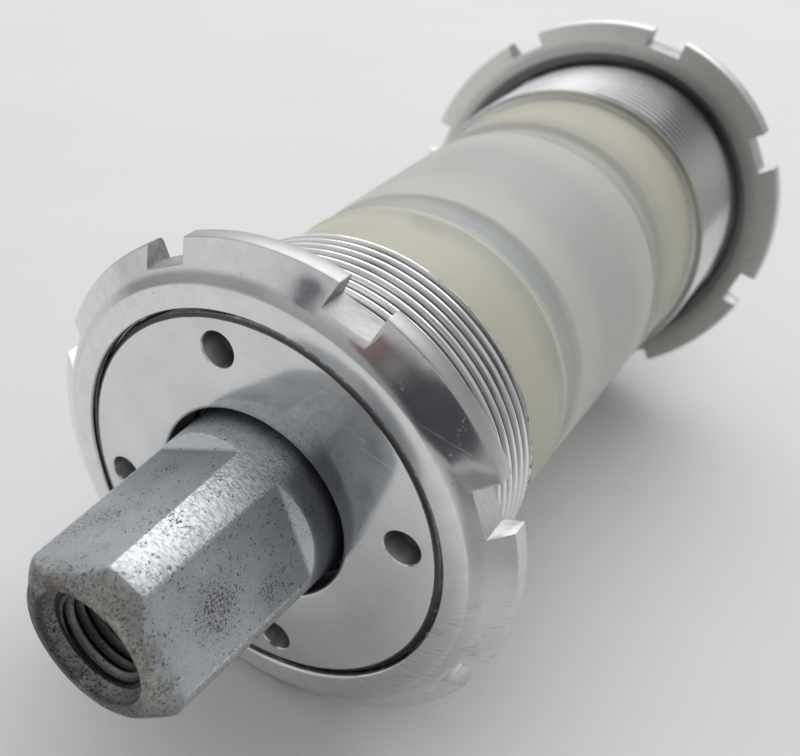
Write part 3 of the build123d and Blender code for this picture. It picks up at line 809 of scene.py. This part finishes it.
def cup(side, name, node):
    s = side
    F = 39.50
    # body of the cup without its thread
    pr = [
        (9.0, F - 0.25),
        (9.05, F - 0.12),
        (9.18, F - 0.03),
        (9.35, F),
        (12.0, F),
        (16.70, F),
        (16.82, F - 0.02),
        (16.84, F - 0.10),
        (16.6, F - 0.6),
        (16.6, 23.70),
        (16.55, 23.45),
        (16.45, 23.40),
        (15.80, 23.40),
        (15.80, 16.40),
        (15.72, 16.22),
        (15.50, 16.10),
        (15.10, 16.10),
        (15.10, 26.5),
        (15.00, 26.5),
        (15.00, 34.5),
        (13.90, 34.5),
        (13.90, 36.0),
        (9.3, 36.0),
        (9.0, 36.25),
    ]
    body = revolve(name + "_body", [(r, s * t) for r, t in pr], n=384, sharp=30)
    rods = []
    for k in range(4):
        a = math.radians(13.5) + k * TAU / 4
        # drilled hole with a shallow cone at the bottom and a broken mouth
        n = 56
        cx, cz = 14.2 * math.cos(a), 14.2 * math.sin(a)
        st = [(F + 0.4, 1.9), (F - 0.0, 1.60), (F - 0.12, 1.50), (F - 2.3, 1.49), (F - 2.45, 1.40)]
        verts, faces = [], []
        for t, r in st:
            for i in range(n):
                b = TAU * i / n
                verts.append((cx + r * math.cos(b), s * t, cz + r * math.sin(b)))
        tip = len(verts)
        verts.append((cx, s * (F - 2.95), cz))
        for q in range(len(st) - 1):
            for i in range(n):
                j = (i + 1) % n
                faces.append([q * n + i, q * n + j, (q + 1) * n + j, (q + 1) * n + i])
        for i in range(n):
            faces.append([(len(st) - 1) * n + i, (len(st) - 1) * n + (i + 1) % n, tip])
        faces.append(list(range(n)))
        o = new_object("pin_cut", verts, faces, smooth=False)
        bm = bmesh.new()
        bm.from_mesh(o.data)
        bmesh.ops.recalc_face_normals(bm, faces=bm.faces)
        bm.to_mesh(o.data)
        bm.free()
        rods.append(o)
    cut(body, merge_cutters("pins", rods))
    body.data.shade_smooth()
    body.data.set_sharp_from_angle(angle=math.radians(30))
    # right-hand thread on the non-drive side, left-hand on the drive side
    hand = -1 if side < 0 else 1
    if side < 0:
        th = thread_shell(name + "_thread", s, F - 0.02, 23.40, hand, 16.86)
    else:
        th = thread_shell(name + "_thread", s, F - 0.02, 23.40, hand, 16.86)
    ob = join(name, [body, th])
    paint(ob, CUP)
    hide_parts(node)
    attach(ob, node)
    return ob


def lockring(side, back, start, name, node, m):
    s = side
    pr = [
        (17.62, back + 3.60),
        (18.4, back + 3.60),
        (19.35, back + 3.60),
        (19.52, back + 3.545),
        (20.2, back + 3.115),
        (21.2, back + 2.48),
        (22.25, back + 1.82),
        (22.37, back + 1.72),
        (22.40, back + 1.60),
        (22.40, back + 0.35),
        (22.34, back + 0.16),
        (22.20, back + 0.04),
        (22.0, back),
        (20.5, back),
        (19.10, back),
        (18.98, back + 0.04),
        (18.40, back + 0.60),
        (17.80, back + 1.20),
        (17.50, back + 1.50),
    ]
    y = back + 1.56
    bore = []
    while y + 1.0 < back + 3.30:
        bore += [(17.46, y), (17.46, y + 0.14), (17.86, y + 0.50), (17.46, y + 0.86)]
        y += PITCH
    bore += [(17.46, back + 3.36), (17.52, back + 3.52)]
    ob = revolve(name, [(r, s * t) for r, t in pr + bore], n=512, sharp=24)
    cuts = []
    for k in range(8):
        a = math.radians(start + 45 * k)
        u = np.array([math.cos(a), 0, math.sin(a)])
        v = np.array([-math.sin(a), 0, math.cos(a)])
        # slightly uneven saw cuts, one floor a touch off square
        w = 2.0 + 0.04 * math.sin(k * 2.3 + side)
        f0 = 20.60 + 0.05 * math.sin(k * 1.7)
        f1 = 20.60 - 0.05 * math.sin(k * 1.7)
        base = [u * f0 - v * w, u * 24.5 - v * w, u * 24.5 + v * w, u * f1 + v * w]
        y0 = s * (back - 1.0)
        cuts.append(prism("notch", [tuple(p + np.array([0, y0, 0])) for p in base], (0, s * 6.0, 0)))
    cut(ob, merge_cutters("notches", cuts))
    soften(ob, 0.06, 2, 34)
    # faces the saw left: the notches' floors and walls
    me = ob.data
    n = len(me.polygons)
    ce = np.zeros(n * 3)
    no = np.zeros(n * 3)
    me.polygons.foreach_get("center", ce)
    me.polygons.foreach_get("normal", no)
    ce = ce.reshape(-1, 3) / MM
    no = no.reshape(-1, 3)
    rc = np.hypot(ce[:, 0], ce[:, 2])
    flag = ((rc > 19.3) & (rc < 22.30) & (np.abs(no[:, 1]) < 0.30)).astype(np.float32)
    at = me.attributes.new("milled", "FLOAT", "FACE")
    at.data.foreach_set("value", flag)
    paint(ob, m)
    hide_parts(node)
    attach(ob, node)
    return ob


def sleeve():
    R, G = 16.35, 15.72
    half = (
        [(15.83, 23.26), (16.10, 23.28)]
        + arc((16.10, 23.03), 0.25, 90, 0, 6)
        + [(R, 21.0), (R + 0.01, 18.0), (R, 15.5), (R, 14.6), (R + 0.03, 14.35), (R + 0.07, 14.12)]
        + arc((R - 0.18, 13.88), 0.26, 20, -70, 8)
    )
    # shoulder down into the groove, a soft bottom, and up on to the tube
    half += [(15.92, 13.42), (15.80, 13.28), (G, 13.05), (G - 0.02, 12.2), (G, 11.4), (G + 0.02, 10.75), (15.78, 10.45), (15.90, 10.12)]
    half += arc((R - 0.42, 9.50), 0.42, 78, 0, 8)
    half += [(R + 0.005, 8.0), (R + 0.02, 5.0), (R + 0.03, 2.0)]
    mirrored = [(r, -t) for r, t in reversed(half)]
    inside = [(15.83, -16.05), (15.20, -15.95), (15.20, -8.0), (15.20, 8.0), (15.20, 15.95), (15.83, 16.05)]
    prof = half + mirrored + inside
    ob = revolve("sleeve_moulding", prof, n=384, sharp=45)
    # a moulded tube is never quite round: a slow, tiny ovality and a faint parting line
    me = ob.data
    co = np.zeros(len(me.vertices) * 3)
    me.vertices.foreach_get("co", co)
    co = co.reshape(-1, 3)
    r = np.hypot(co[:, 0], co[:, 2])
    ph = np.arctan2(co[:, 2], co[:, 0])
    yy = co[:, 1] / MM
    outer = r > 15.6 * MM
    dr = np.zeros_like(r)
    dr += outer * (0.018 * np.sin(2 * ph + 0.6) + 0.010 * np.sin(3 * ph + yy * 0.22) + 0.008 * np.sin(5 * ph - yy * 0.15)) * MM
    d = (ph - math.radians(118) + math.pi) % TAU - math.pi
    dr += outer * 0.035 * MM * np.exp(-((d / 0.010) ** 2)) * (np.abs(yy) < 9.3)
    k = (r + dr) / np.maximum(r, 1e-9)
    co[:, 0] *= k
    co[:, 2] *= k
    me.vertices.foreach_set("co", co.ravel())
    me.update()
    paint(ob, SLEEVE)
    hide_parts("dust_sleeve")
    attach(ob, "sleeve")
    return ob


def spindle():
    H = 58.75
    half = [(0.0, H - 24.9), (3.0, H - 24.4), (4.03, H - 21.0), (4.03, 57.46), (4.10, 57.40), (4.36, 57.40), (4.45, 57.50), (4.62, 57.86), (4.80, 58.20), (4.90, 58.42), (4.95, 58.60), (5.02, 58.70), (5.14, H)]
    half += [(5.6, H - 0.04), (6.0, H - 0.15), (6.3, H - 0.36), (6.58, H - 0.70), (6.88, H - 1.06), (7.22, H - 1.40), (7.48, H - 1.68), (7.64, H - 1.85)]
    half += [(7.64 + (8.39 - 7.64) * i / 24, 56.90 - (56.90 - 36.60) * i / 24) for i in range(1, 25)]
    half += [(8.50, 36.45), (8.50, 35.60), (8.0, 35.60), (8.0, 34.5), (8.50, 34.5), (8.50, 27.5), (10.0, 27.5), (10.2, 27.3), (10.2, 25.4), (9.4, 24.5), (8.2, 20.0), (8.2, 10.0)]
    prof = half + [(r, -t) for r, t in reversed(half)]
    # leave the two end poles, open the profile there
    ob = revolve("spindle_bar", prof, n=288, closed=False, sharp=30)
    cuts = []
    T = math.tan(math.radians(2.0))
    for s in (-1, 1):
        for k in range(4):
            a = math.radians(24.6 + 90 * k)
            u = np.array([math.cos(a), 0, math.sin(a)])
            v = np.array([-math.sin(a), 0, math.cos(a)])
            h = lambda t: 6.40 + T * (56.5 - t)
            pts = [(h(61.0), 61.0), (h(42.62), 42.62), (h(42.50) + 0.02, 42.50), (h(42.5) + 0.30, 42.36), (8.9, 41.63), (13.0, 41.63), (13.0, 61.0)]
            base = [tuple(u * r - v * 9.0 + np.array([0, s * t, 0])) for r, t in pts]
            cuts.append(prism("flat", base, tuple(v * 18.0)))
    cut(ob, merge_cutters("flats", cuts))
    soften(ob, 0.10, 2, 26)
    # helical thread lining each bolt hole
    parts = [ob]
    for s in (-1, 1):
        parts.append(bolt_thread(s, H))
    ob = join("spindle_bar", parts)
    paint(ob, SPINDLE)
    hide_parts("spindle")
    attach(ob, "spindle")
    return ob


def bolt_thread(s, H, n=128):
    """The tapped wall of the bolt hole: a real M8 x 1 helix standing in from the 8 mm drilling."""
    pitch = 1.0
    shape = [(0.0, 0.50), (0.07, 0.54), (0.14, 0.54), (0.21, 0.50), (0.50, 0.06), (0.57, 0.02), (0.64, 0.02), (0.71, 0.06)]
    t0, t1 = 57.44, H - 20.5
    lo, hi = sorted((s * t0, s * t1))
    rows = [(k + p, d) for k in range(int(lo / pitch) - 2, int(hi / pitch) + 3) for p, d in shape]
    cols = n + 1
    verts, faces = [], []
    for ph, d in rows:
        for i in range(cols):
            phi = TAU * i / n
            y = (ph - phi / TAU) * pitch
            y = min(max(y, lo), hi)
            t = abs(y)
            # the first turn runs out into the countersink
            d1 = d * min(1.0, max(0.0, (t0 - t) / 0.42))
            verts.append(pol(4.0 - d1, phi, y))
    R = len(rows)
    for a in range(R - 1):
        for i in range(n):
            faces.append([a * cols + i, (a + 1) * cols + i, (a + 1) * cols + i + 1, a * cols + i + 1])
    ob = new_object("bolt_thread", verts, faces)
    bm = bmesh.new()
    bm.from_mesh(ob.data)
    bmesh.ops.remove_doubles(bm, verts=bm.verts, dist=1e-6)
    bmesh.ops.dissolve_degenerate(bm, dist=1e-6, edges=bm.edges)
    bm.to_mesh(ob.data)
    bm.free()
    return ob


# ------------------------------------------------------------------ build it
CUP = mat_cup()
SLEEVE = mat_sleeve()
SPINDLE = mat_spindle()
RING_N = mat_ring("lockring_aluminium_near", 36.10, -1)
RING_D = mat_ring("lockring_aluminium_far", 33.30, 1)
RACE = mat_bearing("race_steel", (0.50, 0.50, 0.51), (0.62, 0.62, 0.63), 0.14, 0.28)
BALLS = mat_bearing("ball_steel", (0.68, 0.68, 0.70), (0.78, 0.78, 0.79), 0.05, 0.10)
CAGE = mat_bearing("cage_brass", (0.60, 0.42, 0.17), (0.72, 0.54, 0.25), 0.24, 0.40)
CLIP = mat_bearing("spring_steel", (0.10, 0.10, 0.11), (0.18, 0.18, 0.19), 0.30, 0.48)
RUBBER = mat_rubber()

cup(-1, "non_drive_cup_shell", "non_drive_side_cup")
cup(1, "drive_cup_shell", "drive_side_cup")
lockring(-1, 36.10, 25.2, "non_drive_lockring_ring", "non_drive_side_lockring", RING_N)
lockring(1, 33.30, 32.6, "drive_lockring_ring", "drive_side_lockring", RING_D)
sleeve()
spindle()

for side in ("non_drive_side", "drive_side"):
    for part, m in (
        ("bearing_inner_race", RACE),
        ("bearing_outer_race", RACE),
        ("balls", BALLS),
        ("ball_cage", CAGE),
        ("retaining_ring", CLIP),
        ("outer_seal", RUBBER),
        ("inner_seal", RUBBER),
    ):
        o = NODES[f"{side}_{part}"]
        paint(o, m)
        o.data.shade_smooth()
        o.data.set_sharp_from_angle(angle=math.radians(32))

# ------------------------------------------------------------------ floor
F = 4.0
floor = bpy.data.objects.new("floor", bpy.data.meshes.new("floor"))
floor.data.from_pydata([(-F, -F, 0), (F, -F, 0), (F, F, 0), (-F, F, 0)], [], [(0, 1, 2, 3)])
floor.location = (0, 0, -0.02242)
scene.collection.objects.link(floor)
paint(floor, mat_floor())

# ------------------------------------------------------------------ light
world = bpy.data.worlds.new("room")
scene.world = world
world.use_nodes = True
wt = world.node_tree
wt.nodes.clear()
W = Mat.__new__(Mat)
W.t = wt
wo = wt.nodes.new("ShaderNodeOutputWorld")
bg = wt.nodes.new("ShaderNodeBackground")
tc = wt.nodes.new("ShaderNodeTexCoord")
sp = wt.nodes.new("ShaderNodeSeparateXYZ")
wt.links.new(tc.outputs["Generated"], sp.inputs[0])
W.co = tc.outputs["Generated"]
W.x, W.y, W.z = sp.outputs[0], sp.outputs[1], sp.outputs[2]
W._r = W._phi = None


def direction(az, el):
    """az from -Y towards +X, both in degrees."""
    a, e = math.radians(az), math.radians(el)
    return (math.sin(a) * math.cos(e), -math.cos(a) * math.cos(e), math.sin(e))


def blob(az, el, inner, outer):
    """1 inside the inner angle of a direction, 0 past the outer one, in degrees."""
    n = wt.nodes.new("ShaderNodeVectorMath")
    n.operation = "DOT_PRODUCT"
    wt.links.new(tc.outputs["Generated"], n.inputs[0])
    n.inputs[1].default_value = direction(az, el)
    return W.ramp(n.outputs["Value"], math.cos(math.radians(outer)), math.cos(math.radians(inner)))


sky = W.ramp(W.z, -0.1, 1.0)
col = W.mix(sky, (0.50, 0.50, 0.51), (1.0, 1.0, 1.02))
col = W.mix(W.mul(blob(-85, 20, 10, 60), 0.55), col, (1.25, 1.26, 1.28))
col = W.mix(W.mul(blob(-155, 30, 18, 50), 0.8), col, (1.75, 1.75, 1.78))
col = W.mix(W.mul(blob(156, 6, 8, 26), 0.45), col, (0.30, 0.30, 0.31))
col = W.mix(W.mul(blob(-46, 24, 6, 26), 0.6), col, (1.15, 1.16, 1.18))
col = W.mix(W.mul(blob(-19, 31, 2.0, 5.2), 0.9), col, (0.12, 0.12, 0.15))
col = W.mix(W.mul(blob(12, 19, 5, 11), 0.70), col, (0.105, 0.095, 0.11))
col = W.mix(W.mul(blob(4, 23.5, 2.5, 6.5), 0.80), col, (0.26, 0.145, 0.135))
col = W.mix(W.mul(blob(25, 9, 10, 17), 0.94), col, (0.075, 0.075, 0.09))
col = W.mix(W.mul(blob(34, 42, 6, 16), 0.85), col, (0.10, 0.10, 0.11))
# seen straight, the room is just a plain pale backdrop
lp = wt.nodes.new("ShaderNodeLightPath")
col = W.mix(lp.outputs["Is Camera Ray"], col, (1.06, 1.06, 1.07))
wt.links.new(col, bg.inputs["Color"])
bg.inputs["Strength"].default_value = 0.60
wt.links.new(bg.outputs[0], wo.inputs["Surface"])


def area(name, az, el, dist, size, watts, target=(0, 0, 0), color=(1, 1, 1)):
    d = Vector(direction(az, el))
    li = bpy.data.lights.new(name, "AREA")
    li.shape = "RECTANGLE"
    li.size, li.size_y = size
    li.energy = watts
    li.color = color
    o = bpy.data.objects.new(name, li)
    o.location = Vector(target) + d * dist
    o.rotation_mode = "QUATERNION"
    o.rotation_quaternion = (-d).to_track_quat("-Z", "Y")
    scene.collection.objects.link(o)
    return o


area("key", -167, 54, 1.0, (1.1, 0.8), 4.3)


def flag():
    """A dark card lying on the floor out in front, seen only in the polished metal: a painted soft shadow on the floor.
    """
    ob = bpy.data.objects.new("flag", bpy.data.meshes.new("flag"))
    ob.data.from_pydata([(0.02, -0.70, -0.0220), (0.70, -0.70, -0.0220), (0.70, -0.04, -0.0220), (0.02, -0.04, -0.0220)], [], [(0, 1, 2, 3)])
    scene.collection.objects.link(ob)
    M = Mat("floor_shadow_grey")
    dx, dy = M.sub(M.x, 20.0), M.sub(-39.0, M.y)
    dist = M.math("SQRT", M.add(M.mul(dx, dx), M.mul(dy, dy)))
    az = M.math("ARCTAN2", dx, dy)
    a = M.add(M.ramp(dist, 15.0, 62.0, 0.06, 0.46), M.ramp(dist, 60.0, 300.0, 0.0, 0.18))
    a = M.mul(a, M.mul(M.ramp(az, math.radians(18), math.radians(34)), M.ramp(az, math.radians(58), math.radians(78), 1.0, 0.0)))
    em = M.node("ShaderNodeEmission")
    em.inputs["Color"].default_value = (0.03, 0.03, 0.033, 1)
    tp = M.node("ShaderNodeBsdfTransparent")
    mx = M.node("ShaderNodeMixShader")
    M.link(mx.inputs[0], a)
    M.t.links.new(tp.outputs[0], mx.inputs[1])
    M.t.links.new(em.outputs[0], mx.inputs[2])
    M.done(mx.outputs[0])
    ob.data.materials.append(M.m)
    ob.visible_camera = ob.visible_diffuse = ob.visible_transmission = False
    ob.visible_volume_scatter = ob.visible_shadow = False
    return ob


# a painted soft shadow on the floor out in front, seen only in reflections
FLOOR_SHADOW_CARD = flag()

# ------------------------------------------------------------------ camera
cam = bpy.data.objects.new("camera", bpy.data.cameras.new("camera"))
scene.collection.objects.link(cam)
scene.camera = cam
AZ, EL, FPX = 37.72, 39.46, 945.4
CX, CY = 215.5, 468.2
POS = (0.03347, -0.04775 - 0.0395, 0.05196)
a, e = math.radians(AZ), math.radians(EL)
fw = Vector((-math.sin(a) * math.cos(e), math.cos(a) * math.cos(e), -math.sin(e)))
rt = Vector((math.cos(a), math.sin(a), 0))
up = rt.cross(fw)
rot = Matrix((rt, up, -fw)).transposed()
cam.rotation_mode = "QUATERNION"
cam.rotation_quaternion = rot.to_quaternion()
cam.location = POS
cam.data.sensor_fit = "HORIZONTAL"
cam.data.sensor_width = 36.0
cam.data.lens = FPX / 800 * 36.0
cam.data.clip_start, cam.data.clip_end = 0.002, 20


def only_here(prop, here, elsewhere, path_owner):
    """A camera property that holds at the main viewpoint and lets go when the camera is moved."""
    fc = path_owner.driver_add(prop)
    d = fc.driver
    d.type = "SCRIPTED"
    v = d.variables.new()
    v.name = "px"
    v.type = "TRANSFORMS"
    v.targets[0].id = cam
    v.targets[0].transform_type = "LOC_X"
    v.targets[0].transform_space = "WORLD_SPACE"
    d.expression = f"{here} if abs(px - {POS[0]}) < 0.0002 else {elsewhere}"


# the optical centre lies left of and below the frame's middle
only_here("shift_x", (400 - CX) / 800, 0.0, cam.data)
only_here("shift_y", (CY - 378) / 800, 0.0, cam.data)
cam.data.dof.use_dof = True
cam.data.dof.focus_distance = 0.072
only_here("aperture_fstop", 44.0, 128.0, cam.data.dof)

scene.view_settings.view_transform = "Standard"
scene.view_settings.look = "None"
scene.view_settings.exposure = 0.0
